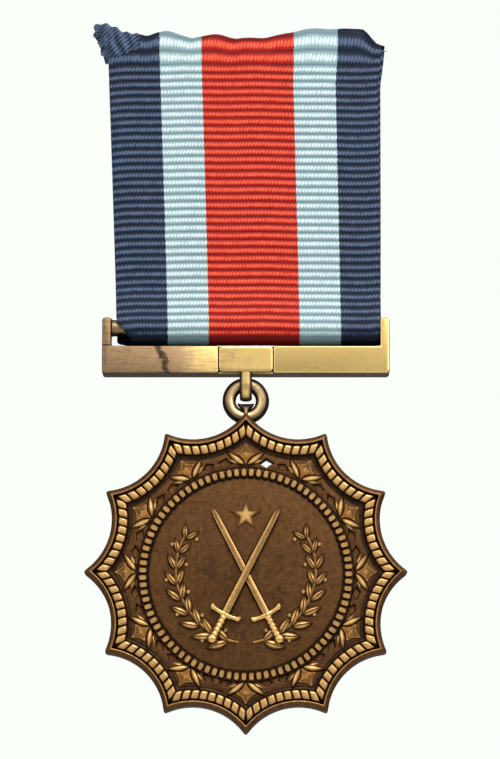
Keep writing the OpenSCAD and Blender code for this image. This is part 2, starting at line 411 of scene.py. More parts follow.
def bronze(name, group, hollow, ground, rubbed, side_shade, bump=0.12, extra_dimming=None,
           facing_span=(0.25, 0.85)):
    """A bronze finish: the patina group with its own colours, driven by the piece's wear. Wear is cut where
    a face turns away from forward or back, by how far it turns: painted shade on the sides, together with
    less rubbing there.
    A further mask, where given, takes more of it away."""
    material, n, shader = new_material(name)
    patina = n.add("ShaderNodeGroup", node_tree=group)
    wear = n.attribute("wear")
    facing = n.add("ShaderNodeSeparateXYZ")
    n.wire(n.add("ShaderNodeTexCoord").outputs["Normal"], facing.inputs[0])
    square_on = n.math("ABSOLUTE", facing.outputs["Y"])
    # Painted shade: faces turned sideways lose wear by side_shade, which darkens them, along with less
    # rubbing there.
    wear = n.math("MULTIPLY", wear, n.span(square_on, *facing_span, 1 - side_shade, 1.0))
    if extra_dimming:
        wear = n.math("MULTIPLY", wear, extra_dimming(n))
    n.wire(wear, patina.inputs["Wear"])
    for key, color in (("Hollow", hollow), ("Ground", ground), ("Rubbed", rubbed)):
        patina.inputs[key].default_value = (*color, 1)
    n.wire(patina.outputs["Color"], shader.inputs["Base Color"])
    n.wire(patina.outputs["Roughness"], shader.inputs["Roughness"])
    shader.inputs["Metallic"].default_value = 0.9
    relief = n.add("ShaderNodeBump")
    relief.inputs["Strength"].default_value = bump
    relief.inputs["Distance"].default_value = 0.05 * MM
    n.wire(patina.outputs["Height"], relief.inputs["Height"])
    n.wire(relief.outputs["Normal"], shader.inputs["Normal"])
    return material


def bar_reflection_seam_and_streaks(n):
    """How bright the bar's metal shows: a painted reflection that is dim at the left end, with a slanting
    dark reflection edge at its inner end, and brighter towards the right, with brushed streaks over it. A
    dark seam runs on from the top of the bar across the left cheek."""
    place = n.place()
    axes = n.add("ShaderNodeSeparateXYZ")
    n.wire(place, axes.inputs[0])
    x = n.math("MULTIPLY", axes.outputs["X"], 1 / MM)
    z = n.math("MULTIPLY", axes.outputs["Z"], 1 / MM)
    rough_x = n.math("ADD", x, n.math("MULTIPLY", n.noise(place, 700, 4), 2.2))
    # Painted reflection: dim at the left end, rising towards the middle and the right.
    painted_reflection = n.span(rough_x, -9.5, -3.5, 0.4, 0.85)
    painted_reflection = n.math("ADD", painted_reflection, n.span(x, -3, 5, 0, 0.45))
    # Painted reflection: a slanting dark band near the left end, the edge of something reflected.
    slant = n.math("ADD", rough_x, n.math("MULTIPLY", n.math("SUBTRACT", z, BAR_TOP - 1.6), 0.42))
    painted_reflection_edge = n.span(n.math("ABSOLUTE", n.math("ADD", slant, 8.9)), 0.15, 0.75, 0.45, 1.0)
    seam = n.span(n.math("ABSOLUTE", n.math("SUBTRACT", z, BAR_TOP + 0.08)), 0.03, 0.1)
    seam = n.math("MAXIMUM", seam, n.math("GREATER_THAN", x, frame_low[0] + 1.2))
    streaks = n.noise(place, 1000, 3, 0.6, stretch=(0.25, 1, 5))
    brushed = n.span(streaks, 0.25, 0.75, 0.82, 1.12)
    return n.math("MULTIPLY", n.math("MULTIPLY", painted_reflection, painted_reflection_edge), n.math("MULTIPLY", seam, brushed))


def ribbon_material():
    """Corded silk: stripes across, painted shade in the valleys between the ribs, painted highlights on the
    rib crests, and fine warp yarns over each rib that break up the highlight and bump the surface.
    """
    material, n, shader = new_material("corded_silk")
    across, rib = n.attribute("across"), n.attribute("rib")
    place = n.place()
    waver = n.math("MULTIPLY", n.math("SUBTRACT", n.noise(place, 2500, 2), 0.5), 0.25)
    at = n.math("ADD", across, waver)
    edges = [n.math("GREATER_THAN", at, x) for x in STRIPES]

    def striped(navy, pale, red):
        mixed = n.mix(edges[0], (*navy, 1), (*pale, 1))
        for edge, color in zip(edges[1:], (red, pale, navy)):
            mixed = n.mix(edge, mixed, (*color, 1))
        return mixed

    # The warp yarns: a slanted wave that breaks up the painted crest highlight and bumps the surface.
    slanted = n.math("ADD", across, n.math("MULTIPLY", n.attribute("along"), 0.36))
    slanted = n.math("ADD", slanted, n.math("MULTIPLY", n.noise(place, 600, 3), 0.5))
    yarn = n.math("SINE", n.math("MULTIPLY", slanted, TAU / 0.4))
    yarn = n.math("MULTIPLY_ADD", yarn, 0.5, 0.5)
    # Noise that makes the painted crest highlight patchy.
    worn = n.noise(place, 1300, 4)
    height = n.math("ADD", rib, n.math("MULTIPLY", n.math("SUBTRACT", worn, 0.5), 0.5))
    height = n.math("ADD", height, n.math("MULTIPLY", n.math("SUBTRACT", yarn, 0.5), 0.2))
    # How much of the painted crest highlight each point takes.
    crest = n.span(height, 0.62, 1.02)
    # Painted shade in the valleys, the stripes' own colours on the flanks, and painted highlight on the
    # crests.
    valley_shade_color = striped((0.002, 0.005, 0.016), (0.17, 0.26, 0.28), (0.17, 0.002, 0.001))
    on_flank = striped((0.009, 0.02, 0.05), (0.32, 0.47, 0.49), (0.46, 0.01, 0.005))
    crest_highlight_color = striped((0.11, 0.15, 0.24), (0.82, 0.96, 1.0), (1.0, 0.13, 0.06))
    color = n.mix(n.span(rib, 0.1, 0.6), valley_shade_color, on_flank)
    color = n.mix(n.math("MULTIPLY", crest, n.math("MULTIPLY_ADD", yarn, 0.35, 0.65)), color, crest_highlight_color)
    n.wire(color, shader.inputs["Base Color"])
    shader.inputs["Roughness"].default_value = 0.55
    shader.inputs["Specular IOR Level"].default_value = 0.2
    relief = n.add("ShaderNodeBump")
    relief.inputs["Strength"].default_value = 0.45
    relief.inputs["Distance"].default_value = 0.06 * MM
    n.wire(n.math("ADD", n.math("MULTIPLY", yarn, crest), n.math("MULTIPLY", n.noise(place, 9000, 2), 0.4)),
           relief.inputs["Height"])
    n.wire(relief.outputs["Normal"], shader.inputs["Normal"])
    return material


def thread_material():
    """Twisted sewing thread: slate blue with a fine spiral."""
    material, n, shader = new_material("sewing_thread")
    twist = n.add("ShaderNodeTexWave", bands_direction="DIAGONAL")
    n.wire(n.place(), twist.inputs["Vector"])
    twist.inputs["Scale"].default_value = 3500
    color = n.mix(twist.outputs["Fac"], (0.03, 0.05, 0.09, 1), (0.12, 0.18, 0.26, 1))
    n.wire(color, shader.inputs["Base Color"])
    shader.inputs["Roughness"].default_value = 0.6
    return material


# ---------------------------------------------------------------------- ribbon


def ribbon_path():
    """The middle of the cloth in (y, z), evenly spaced: hem tail, over the top, down the front,
    round the rail, up behind, over inside, and down the inner tail. Straight lines and round arcs."""
    half_stack = 2 * CLOTH_T + 1.5 * LAYER_GAP
    hem_c = ribbon_high[2] - half_stack
    centre_y = -half_stack
    tail_z = ribbon_high[2] - HEM_H
    outer, inner = 1.5 * (CLOTH_T + LAYER_GAP), 0.5 * (CLOTH_T + LAYER_GAP)
    lean = math.atan2(TAPER_H, inner) - math.acos(FOLD_R / math.hypot(inner, TAPER_H))
    turn = np.linspace(0, math.pi, 40)
    bend = np.linspace(math.pi - lean, TAU + lean, 60)
    slack = np.where(np.sin(bend) < 0, 1 + FOLD_SLACK * np.abs(np.sin(bend)), 1)
    parts = [
        [[centre_y + outer, tail_z]],
        np.stack([centre_y + outer * np.cos(turn), hem_c + outer * np.sin(turn)], -1),
        [[HANG_Y - inner, RAIL[2] + TAPER_H]],
        np.stack([HANG_Y + FOLD_R * np.cos(bend), RAIL[2] + FOLD_R * slack * np.sin(bend)], -1),
        [[HANG_Y + inner, RAIL[2] + TAPER_H]],
        np.stack([centre_y - inner * np.cos(turn), hem_c + inner * np.sin(turn)], -1),
        [[centre_y + inner, tail_z]],
    ]
    points = np.concatenate([np.asarray(p, float) for p in parts])
    along = np.concatenate([[0], np.cumsum(np.hypot(*np.diff(points, axis=0).T))])
    at = np.linspace(0, along[-1], int(along[-1] / (RIB / 6)))
    return np.stack([np.interp(at, along, points[:, k]) for k in (0, 1)], -1), at


def crest_line(x):
    """How far the soft top fold stands up across the ribbon: two humps, a long rise to the right, a
    drop at the right corner and a bunch at the left."""
    return (
        1.35
        + 0.95 * np.exp(-(((x + 9.2) / 2.0) ** 2))
        + 0.55 * np.exp(-(((x + 3.6) / 1.7) ** 2))
        - 0.25 * np.exp(-(((x + 6.0) / 0.8) ** 2))
        + 1.25 * smooth(1.0, 9.0, x)
        - 2.1 * smooth(13.2, 15.4, x)
        + 0.5 * smooth(11.0, 13.0, -x)
        + 0.6 * smooth(13.0, 16.5, -x)
        + 0.06 * np.sin(x / 0.55)
    )


def make_ribbon(material):
    """One closed shell: each face is the middle path plus or minus half the cloth along its normal,
    swollen by the ribs; the grid runs along the ribbon and all round its section."""
    path, at = ribbon_path()
    slope = unit_slope(path)
    normal = np.stack([slope[:, 1], -slope[:, 0]], -1)
    columns = 62
    x = np.linspace(-0.5, 0.5, columns) * RIBBON_W
    x = np.sign(x) * np.abs(x) ** 0.96 * (RIBBON_W / 2) ** 0.04
    across = np.concatenate([x, x[::-1]])
    face = np.concatenate([np.ones(columns), -np.ones(columns)])
    edge = np.clip((RIBBON_W / 2 - np.abs(across)) / 0.35, 0, 1)
    # The ribs: |cos| of the way along, drooping at the edges, and fading at the fold and the crest.
    droop = -0.4 * np.exp(-(across + RIBBON_W / 2) / 3.0) + 0.25 * np.exp(-(RIBBON_W / 2 - across) / 1.5)
    drift = -0.01 * across + 0.05 * np.sin(across / 4.3 + 1.0) + 0.03 * np.sin(across / 1.3)
    phase = (at[:, None] + (droop + drift)[None, :]) / RIB
    rib = np.abs(np.cos(math.pi * phase))
    flat = 1 - smooth(0.6, 1.5, RAIL[2] - path[:, 1])
    rib = rib * np.where(path[:, 1] < RAIL[2], flat, 1)[:, None]
    rib = rib * (1 - 0.75 * smooth(ribbon_high[2] - 0.9, ribbon_high[2] - 0.3, path[:, 1]))[:, None]
    # Half the cloth's thickness, which rounds off to the edges.
    thick = (CLOTH_T / 2 - RIB_DEPTH) + RIB_DEPTH * rib
    thick = thick * (0.35 + 0.65 * np.sqrt(1 - (1 - edge[None, :]) ** 2))
    y = path[:, :1] + normal[:, :1] * thick * face
    z = path[:, 1:] + normal[:, 1:] * thick * face
    # The wavy, puckered crest at the top.
    rise = np.clip((z - RAIL[2]) / (ribbon_high[2] - RAIL[2]), 0, 1)
    top = smooth(ribbon_high[2] - 5.5, ribbon_high[2], z)
    z = z + crest_line(across)[None, :] * smooth(ribbon_high[2] - 3.2, ribbon_high[2], z) ** 1.2
    pucker = np.sin(across / 1.05 + 0.8) * 0.6 + np.sin(across / 0.62) * 0.35
    y = y - 0.22 * top * (1 - 0.3 * top) * (1 + pucker[None, :])
    # The whole ribbon leans to the left as it rises, flares at the top right, and is squeezed in at the
    # lower left where it enters the slot.
    behind = smooth(HANG_Y - 0.05, HANG_Y + 0.05, y) * smooth(RAIL[2], RAIL[2] + TAPER_H, z)
    right = smooth(0, RIBBON_W / 2, across)[None, :]
    left = smooth(0, -RIBBON_W / 2, across)[None, :]
    lean = -0.95 * rise**1.1 + 0.75 * rise * right + 0.55 * top * right - 0.1 * rise * left
    x_all = across[None, :] * 1.005 + 0.2 + lean + 0.4 * behind * rise
    squeeze = smooth(12.9, 16, -across)[None, :] * smooth(1.2, -2.2, z - RAIL[2])
    squeeze = squeeze * smooth(HANG_Y + 0.9, HANG_Y - 0.6, y)
    x_all = x_all + squeeze * 1.75 + 0.3 * left * (1 - rise)
    points = np.stack([x_all, y, z], -1)
    stripe = across[None, :] + 0.3 * rise * right
    rows = len(at)
    quads = grid_quads(rows, 2 * columns, wrap_columns=True)
    k = np.arange(columns - 1)
    across_end = np.stack([k, k + 1, 2 * columns - 2 - k, 2 * columns - 1 - k], -1)
    quads = np.concatenate([quads, across_end, across_end + (rows - 1) * 2 * columns])
    along = np.broadcast_to(at[:, None], y.shape)
    piece = shell(points, quads, 0.5, across=np.broadcast_to(stripe, y.shape), rib=rib, along=along)
    made = make_piece("ribbon_cloth", [piece], material, "ribbon", ("ribbon",), sharp=70)
    return made, at[-1]


def make_raw_end(material):
    """The cloth's cut end, bunched over the top left corner: a patch stretched between a lower and an
    upper edge, both of them curves of one parameter, puffed forward and crumpled by waves."""
    rows, columns = 46, 40
    u = np.linspace(0, 1, rows)[:, None]
    v = np.linspace(0, 1, columns)[None, :]
    low_x, low_z = -16.9 + 4.6 * u, 2.4 + 2.0 * u - 0.3 * np.sin(np.pi * u)
    high_x = -18.7 + 6.2 * u
    high_z = 7.1 + 0.9 * np.sin(np.pi * np.clip(1.7 * u, 0, 1)) ** 0.7 * (1 - u) - 1.0 * u
    frayed = 0.16 * np.sin(23 * v + 2.0) + 0.1 * np.sin(57 * v)
    x = low_x + (high_x - low_x) * v**0.9 - frayed * (1 - u) ** 6 * 1.6
    z = low_z + (high_z - low_z) * v + 0.12 * np.sin(31 * u) * v**4
    puff = np.sin(np.pi * np.clip(u * 1.02, 0, 1)) ** 0.5 * np.sin(np.pi * v) ** 0.5
    weave = np.cos(TAU * (0.9 * x - 0.95 * z) / 0.55)
    front = 0.3 + 0.75 * puff + 0.16 * np.sin(3.4 * x + 1.9 * z) * puff + 0.05 * weave
    face = CORNER_Y - front
    hind = np.full_like(face, CORNER_Y + 0.25)
    edge = np.minimum(np.minimum(u, 1 - u) * 8, np.minimum(v, 1 - v) * 8)
    face = hind + (face - hind) * np.clip(edge, 0.25, 1)
    around = np.concatenate([grid_of(x, face, z), grid_of(x, hind, z)[:, ::-1]], 1)
    # The front's rib values put the cut end mostly in the ribbon's painted crest highlight, rippled by the
    # weave; the back takes mostly the flank colour.
    rib = np.concatenate([0.85 + 0.2 * weave, np.full_like(weave, 0.5)], 1)
    piece = capped(around, rows, 2 * columns)
    whole = (rows + 2, 2 * columns)
    along = np.broadcast_to(np.linspace(0, 5, rows + 2)[:, None], whole)
    piece["values"].update(across=np.full(whole, NAVY_X).ravel(), along=along.ravel(),
                           rib=np.concatenate([rib[:1], rib, rib[-1:]]).ravel())
    return make_piece("ribbon_raw_end", [piece], material, "ribbon", sharp=70)


def make_loose_threads(material):
    """Loose yarns at both top corners: round sections along short arcs that drift and curl."""
    rng = np.random.default_rng(7)
    roots = [(-18.2, 6.5, -1)] * 9 + [(-16.9, 6.9, -1)] * 3 + [(16.4, 4.0, 1)] * 7 + [(16.2, 2.0, 1)] * 3
    steps, sides = 12, 6
    turn = np.linspace(0, TAU, sides, endpoint=False)
    ring = np.stack([np.cos(turn), np.sin(turn)], -1)[None]
    t = np.linspace(0, 1, steps)
    radius = 0.075 * (1 - 0.6 * t)[:, None, None]
    level = np.tile([0, 1.0, 0], (steps, 1))
    shells = []
    for x, z, side in roots:
        aim, bend, length = rng.uniform(-0.9, 1.1), rng.uniform(-1.6, 1.6), rng.uniform(0.5, 1.3)
        way = aim + bend * t
        step = length / steps
        start = np.array([x + rng.uniform(-0.2, 0.2) - side * 0.3, CORNER_Y - rng.uniform(0.0, 0.3),
                          z + rng.uniform(-0.5, 0.2)])
        path = start + np.stack([side * np.cumsum(np.cos(way)) * step, 0.15 * np.sin(3 * t) * side,
                                 np.cumsum(np.sin(way)) * step], -1)
        aside = np.cross(level, unit_slope(path))
        points = path[:, None] + (aside[:, None] * ring[..., :1] + level[:, None] * ring[..., 1:]) * radius
        shells.append(capped(points, steps, sides))
    return make_piece("ribbon_loose_yarns", shells, material, "ribbon")


# ------------------------------------------------------------------- suspender


def bevelled_copy(node, name, material, body, width, wear):
    """A copy of a CAD node with its loose triangles merged and its edges rounded."""
    mesh = frame["nodes"][node].data.copy()
    bm = bmesh.new()
    bm.from_mesh(mesh)
    bmesh.ops.remove_doubles(bm, verts=bm.verts, dist=1e-6)
    bmesh.ops.dissolve_limit(bm, angle_limit=math.radians(0.6), verts=bm.verts, edges=bm.edges)
    bm.to_mesh(mesh)
    bm.free()
    layer = mesh.attributes.new("wear", "FLOAT", "POINT")
    layer.data.foreach_set("value", np.full(len(mesh.vertices), wear))
    return finish_piece(name, mesh, material, body, (node,), bevel=width)


def make_strap(material):
    """The strap's head, a rounded plate whose outline draws in as it comes forward, and its leg, an
    oval carried down the front, round under the ring's wire, and up the back of the bar."""
    out = (frame_high[1] - frame_low[1]) / 2
    middle = out - STRAP_T / 2
    low, high = frame_low[2], head_high[2]
    turn = np.linspace(math.pi, TAU, 24)
    y = np.concatenate([[-middle] * 4, middle * np.cos(turn), [middle] * 4])
    z = np.concatenate([np.linspace(low + 0.6, STRAP[2] + 0.1, 4),
                        STRAP[2] + STRAP_SAG * middle * np.sin(turn),
                        np.linspace(STRAP[2] + 0.1, high - 0.1, 4)])
    path = np.stack([np.zeros_like(y), HANG_Y + y, z], -1)
    across = np.tile([1.0, 0, 0], (len(path), 1))
    about = np.linspace(0, TAU, 28, endpoint=False)
    section = np.stack([STRAP_LEG_W / 2 * np.cos(about), STRAP_T / 2 * np.sin(about)], -1)
    # Wear runs high down the leg's front and back and falls to nothing at its edges: a painted highlight
    # down the middle and painted shade on the sides, together with rubbing.
    ridge = np.clip(1.2 - 2 * np.cos(about) ** 2, 0, 0.9)[None, :]
    leg = swept(path, across, np.cross(unit_slope(path), across), section, wear=ridge)
    w, h = head_high[0] - head_low[0], high - low - 2 * HEAD_MARGIN
    steps = [(STRAP_T + 0.1, 0.0), (0.16, 0.0), (0.05, 0.05), (0.0, 0.16), (0.0, 0.4)]
    rows = []
    for depth, inset in steps:
        outline = rounded_profile(w - 2 * inset, h - 2 * inset, 0.42 - 0.4 * inset, 6)
        rows.append(np.stack([outline[:, 0], np.full(len(outline), head_low[1] + depth),
                              outline[:, 1] + (low + high) / 2 + 0.03], -1))
    wear = np.array([0.2, 0.3, 0.9, 1.0, 0.95])[:, None]
    head = capped(np.stack(rows), len(rows), len(rows[0]), wear)
    make_piece("hanger_strap_bronze", [leg, head], material, "suspender", ("hanger_strap",))


def make_ring(material):
    """A thick ring: a round section carried round a circle, a little flattened where it was closed."""
    steps, sides = 112, 36
    turn = np.linspace(0, TAU, steps, endpoint=False)[:, None]
    around = np.linspace(0, TAU, sides, endpoint=False)[None, :]
    joint = np.exp(-((np.angle(np.exp(1j * (turn - math.pi / 2))) / 0.03) ** 2))
    r = (WIRE_R - 0.01) * (1 - 0.05 * joint)
    far = RING_R + r * np.cos(around)
    points = np.stack([far * np.cos(turn), HANG_Y - r * np.sin(around), RING[2] + far * np.sin(turn)], -1)
    # Wear is highest where the wire faces forward or back, turned a little, and none at its inner and outer
    # edges: painted highlight and shade across the wire, together with rubbing; less at the closing joint.
    wear = 0.9 * np.abs(np.sin(around - 0.25)) ** 3 - 0.6 * joint
    piece = shell(points, grid_quads(steps, sides, True, True), np.broadcast_to(wear, (steps, sides)))
    make_piece("suspension_ring_bronze", [piece], material, "ring", ("suspension_ring",))


def make_eyelet(material):
    """A strip bent round the ring's wire behind the top point: narrow in front, wide inside the ring,
    where it is raised by a share of x squared, so that it follows the ring's inner curve."""
    turn = np.linspace(math.radians(8), math.radians(225), 40)
    middle = WIRE_R + EYELET_GAP + EYELET_T / 2
    centre_z = RING[2] - RING_R
    path = np.stack([0 * turn, HANG_Y - middle * np.cos(turn), centre_z + middle * np.sin(turn)], -1)
    across = np.tile([1.0, 0, 0], (len(path), 1))
    width = 0.36 + 0.64 * smooth(math.radians(30), math.radians(75), turn)
    width = width + 0.85 * np.exp(-(((turn - math.radians(85)) / math.radians(38)) ** 2))
    section = rounded_profile(EYELET_W, EYELET_T - 0.03, 0.18, 4)
    strip = swept(path, across, np.cross(unit_slope(path), across), section, width, 0.45)
    strip["points"][:, 2] += 0.33 * strip["points"][:, 0] ** 2
    make_piece("star_eyelet_bronze", [strip], material, "star", ("star_eyelet",))


# ------------------------------------------------------------------------ star


def outline_radius(angle, inset):
    """How far the outline, moved in by inset, lies from the centre in a direction. Each scallop is an
    arc about a centre outside the star, so this is where the ray first meets that arc."""
    off = np.mod(angle + math.pi / 2, SECTOR) - SECTOR / 2
    return SCALLOP_C * np.cos(off) - np.sqrt((SCALLOP_R + inset) ** 2 - (SCALLOP_C * np.sin(off)) ** 2)


def recesses(x, y):
    """How deep each point of the field lies inside the diamond recesses that flank the motifs, 0 to 1:
    a soft step on |across| / half-length + |up| / half-height, turned to each motif in turn."""
    deep = np.zeros_like(x)
    for k in range(POINTS):
        c, s = math.cos(k * SECTOR), math.sin(k * SECTOR)
        across, up = x * c + y * s, -x * s + y * c
        for side in (-1, 1):
            size = 1.0 if k == 0 else 0.86
            reach = np.abs(across - side * PIERCE_X) / (0.95 * size) + np.abs(up - PIERCE_Y) / (0.6 * size)
            deep = np.maximum(deep, 1 - smooth(0.8, 1.05, reach))
    return deep


def make_star_plate(material):
    """The plate as one closed surface of directions by profile steps. A step is an inset from the
    outline or a share of the way in to the medallion's seat, with its level and wear. The points are
    blunted by a smooth limit on how far out the outline may reach."""
    columns = POINTS * 60
    angle = np.linspace(0, TAU, columns, endpoint=False) + math.pi / 2
    facing = np.stack([np.cos(angle), np.sin(angle)], -1)
    top, back = STAR_FRONT, STAR_BACK
    insets = [
        (3.2, back + 0.4, 0.45), (1.75, back + 0.4, 0.4), (1.6, back + 0.32, 0.5), (1.5, back + 0.04, 0.7),
        (1.3, back, 0.7), (0.35, back, 0.7), (0.1, back + 0.08, 0.6), (0.0, back + 0.3, 0.2),
        (0.0, back + 0.9, 0.1), (0.0, top - 0.9, 0.1), (0.0, top - 0.5, 0.2), (0.05, top - 0.32, 0.3),
        (0.13, top - 0.22, 0.27), (0.38, top - 0.1, 0.27), (0.47, top - 0.04, 0.5), (0.54, top - 0.02, 0.75),
        (0.6, top - 0.06, 0.6), (0.66, top - 0.2, 0.3), (RIM_W, ROPE_BED - 0.16, 0.15),
        (RIM_W + ROPE_W, ROPE_BED - 0.16, 0.15), (RIM_W + ROPE_W + 0.1, FIELD + 0.1, 0.15),
        (RIM_W + ROPE_W + 0.3, FIELD, 0.2),
    ]

    def edge(inset):
        limit = TIP_R - 0.18 - 1.1 * inset
        reach = outline_radius(angle, inset)
        return limit - np.logaddexp(0, (limit - reach) / 0.1) * 0.1

    def circle(radius, drop=0.0):
        return facing * radius + np.array([0, drop])

    rows = [(circle(r), back + 0.4, 0.45) for r in (2.0, 6.0, 12.0)]
    field_start = len(rows) + len(insets)
    rows += [(facing * edge(inset)[:, None], level, wear) for inset, level, wear in insets]
    drop = DISC_Z - STAR_Z
    seat = circle(DISC_R + 0.03, drop)
    rim_end = rows[-1][0]
    for share in np.linspace(0.04, 1, FIELD_STEPS):
        # The field is darker in its first and last steps, next to the rope and the medallion's seat: painted
        # contact shade, over patina that gathers there.
        wear = 0.3 - 0.22 * (share > 0.93) - 0.12 * (share < 0.1)
        rows.append((rim_end + (seat - rim_end) * share, FIELD + 0.08 * math.sin(share * math.pi), wear))
    rows += [(floor, DISC_BACK, 0.1) for floor in (seat, circle(6.0, drop), circle(2.0, drop))]
    plan = np.stack([row for row, *_ in rows])
    level = np.array([row[1] for row in rows])[:, None] + np.zeros(columns)
    wear = np.array([row[2] for row in rows])[:, None] + np.zeros(columns)
    field = slice(field_start, field_start + FIELD_STEPS)
    deep = recesses(plan[field, :, 0], plan[field, :, 1])
    level[field] -= 0.42 * deep
    wear[field] += 0.1 * deep - 0.5 * deep * (1 - deep)
    from_ring = np.hypot(plan[..., 0], plan[..., 1] - (RING[2] - STAR_Z))
    level = np.where((from_ring < NOTCH_R) & (level < SKIN), SKIN, level)
    points = np.concatenate([plan, level[..., None]], -1)
    plate = capped(on_star(points), len(rows), columns, wear)
    made = make_piece("star_plate_bronze", [plate], material, "star", ("star_plate",), 50)
    open_piercing(made, np.array([PIERCE_X, PIERCE_Y]), 0.82, 0.5)


def open_piercing(plate, centre, half_w, half_h):
    """Cuts a diamond hole right through the plate: an upright four-sided prism taken from it."""
    corners = np.array([[-half_w, -0.05], [0, -half_h], [half_w, 0.05], [0, half_h]]) + centre
    rows = [np.column_stack([corners, np.full(4, level)]) for level in (STAR_BACK - 1, STAR_FRONT)]
    cutter = add_object("piercing", closed_mesh("piercing", [capped(on_star(np.stack(rows)), 2, 4, 0.0)]))
    cut = plate.modifiers.new("piercing", "BOOLEAN")
    cut.object, cut.operation, cut.solver = cutter, "DIFFERENCE", "EXACT"
    graph = bpy.context.evaluated_depsgraph_get()
    pierced = bpy.data.meshes.new_from_object(plate.evaluated_get(graph), depsgraph=graph)
    plate.modifiers.clear()
    plate.data = pierced
    bpy.data.objects.remove(cutter)


def make_rope(material):
    """The rope border: along each scallop, a rounded ridge cut into strands by grooves that run
    parallel to the scallop's own axis, and mitred where two scallops meet."""
    along = np.linspace(-1, 1, ROPE_STRANDS * 14 + 1)[:, None]
    across = np.linspace(-1, 1, 13)[None, :]
    inset = RIM_W + ROPE_W / 2 * (1 + across)
    reach = SCALLOP_R + inset
    spread = np.arcsin(SCALLOP_C * math.sin(SECTOR / 2) / reach) - SECTOR / 2
    x = SCALLOP_C - reach * np.cos(along * spread)
    y = reach * np.sin(along * spread)
    middle = SCALLOP_R + RIM_W + ROPE_W / 2
    half_span = middle * math.sin(math.asin(SCALLOP_C * math.sin(SECTOR / 2) / middle) - SECTOR / 2)
    part = np.mod(ROPE_STRANDS * (y / half_span + 1) / 2, 1)
    strand = 1 - np.abs(2 * part - 1) ** 10
    mitre = 1 - np.abs(along) ** 90
    round_top = np.clip(1 - np.abs(across) ** 5, 0, 1) ** 0.6
    puff = strand * mitre * round_top
    level = ROPE_BED - 0.04 + 0.44 * puff + 0.04 * np.sin(np.pi * part) * round_top
    wear = np.clip(0.12 + puff**1.5 * (0.5 + 0.25 * np.sin(np.pi * part)), 0, 1)
    grid, wear = with_floor(grid_of(x, y, level), wear, ROPE_BED - 0.3)
    shells = []
    for k in range(POINTS):
        side = turned(grid, math.pi / 2 + (k + 0.5) * SECTOR)
        shells.append(capped(on_star(side), *grid.shape[:2], wear))
    make_piece("rope_border", shells, material, "star")


def leaf_grid(length, half_width, height, belly=0.42, groove=0.0):
    """A leaf along +Y as a grid of stations by places across: its half-width is a sine bulge that is
    fullest at belly, and its top falls from a soft ridge, with a groove down the ridge if asked."""
    t = np.linspace(0, 1, 15)[:, None]
    s = np.linspace(-1, 1, 11)[None, :]
    bulge = np.clip(np.sin(math.pi * t ** (math.log(0.5) / math.log(belly))), 0, 1)
    width = half_width * bulge**0.85
    top = height * (1 - np.abs(s) ** 1.5) * bulge**0.5
    top = top * (1 - groove * np.exp(-((s / 0.16) ** 2)))
    return with_floor(grid_of(s * width, t * length, top), np.clip(top / height, 0, 1) ** 0.8, -0.3)


def stepped(outline, centre, rows, level=0.0):
    """Copies of an outline, drawn in about a centre, one above the other: each row gives the share of
    the outline, its height over the level, and its wear."""
    grid = [np.column_stack([centre + (outline - centre) * k, np.full(len(outline), level + h)])
            for k, h, _ in rows]
    wear = np.array([row[2] for row in rows])[:, None]
    return np.stack(grid), np.broadcast_to(wear, (len(rows), len(outline)))


def bud_grid(length, half_width, height):
    """A four-sided bud with hollow sides: its outline runs between four corners, each side bowed
    inwards, and rings of it shrink about its middle as they climb to a point."""
    corners = np.array([[0, 0], [half_width, 0.5 * length], [0, length], [-half_width, 0.5 * length]])
    middle = np.array([0, 0.5 * length])
    t = np.linspace(0, 1, 8, endpoint=False)[:, None]
    sides = []
    for k in range(4):
        side = corners[k] * (1 - t) + corners[(k + 1) % 4] * t
        sides.append(middle + (side - middle) * (1 - 0.2 * np.sin(np.pi * t)))
    outline = np.concatenate(sides)
    rows = [(1.0, -0.3, 0.0), (1.0, 0.2, 0.45), (0.94, 0.34, 0.95), (0.85, 0.3, 0.72),
            (0.5, 0.6 * height, 0.8), (0.12, height, 1.0)]
    return stepped(outline, middle, rows)


def leaf_shell(leaf, x, y, lean, level, spin):
    """Stands a leaf at (x, y), leaning clockwise by lean, and spins it about the centre."""
    grid, wear = leaf
    placed = turned(grid, -lean) + np.array([x, y, level])
    return capped(on_star(turned(placed, spin)), *grid.shape[:2], wear)


def make_motifs(material):
    """Twelve buds, each between two spread leaves, standing on the field round the beaded ring."""
    bud = bud_grid(2.55, 1.2, 0.85)
    side_leaf = leaf_grid(2.8, 0.56, 0.6)
    sepal = leaf_grid(1.9, 0.3, 0.3)
    shells = []
    for k in range(POINTS):
        spin = k * SECTOR
        root = DISC_R + 0.2 - 0.1 * math.cos(spin)
        shells.append(leaf_shell(bud, 0, root + 0.1, 0, FIELD, spin))
        for side in (-1, 1):
            shells.append(leaf_shell(side_leaf, side * 0.1, root, side * 0.93, FIELD, spin))
            shells.append(leaf_shell(sepal, side * 0.5, root + 0.1, side * 1.22, FIELD - 0.05, spin))
    make_piece("leaf_motifs", shells, material, "star")


# ------------------------------------------------------------------- medallion


def dome_level(radius):
    """The level of the medallion's gently domed field."""
    return DISC_TOP + DOME_H * (1 - (radius / DOME_R) ** 2)


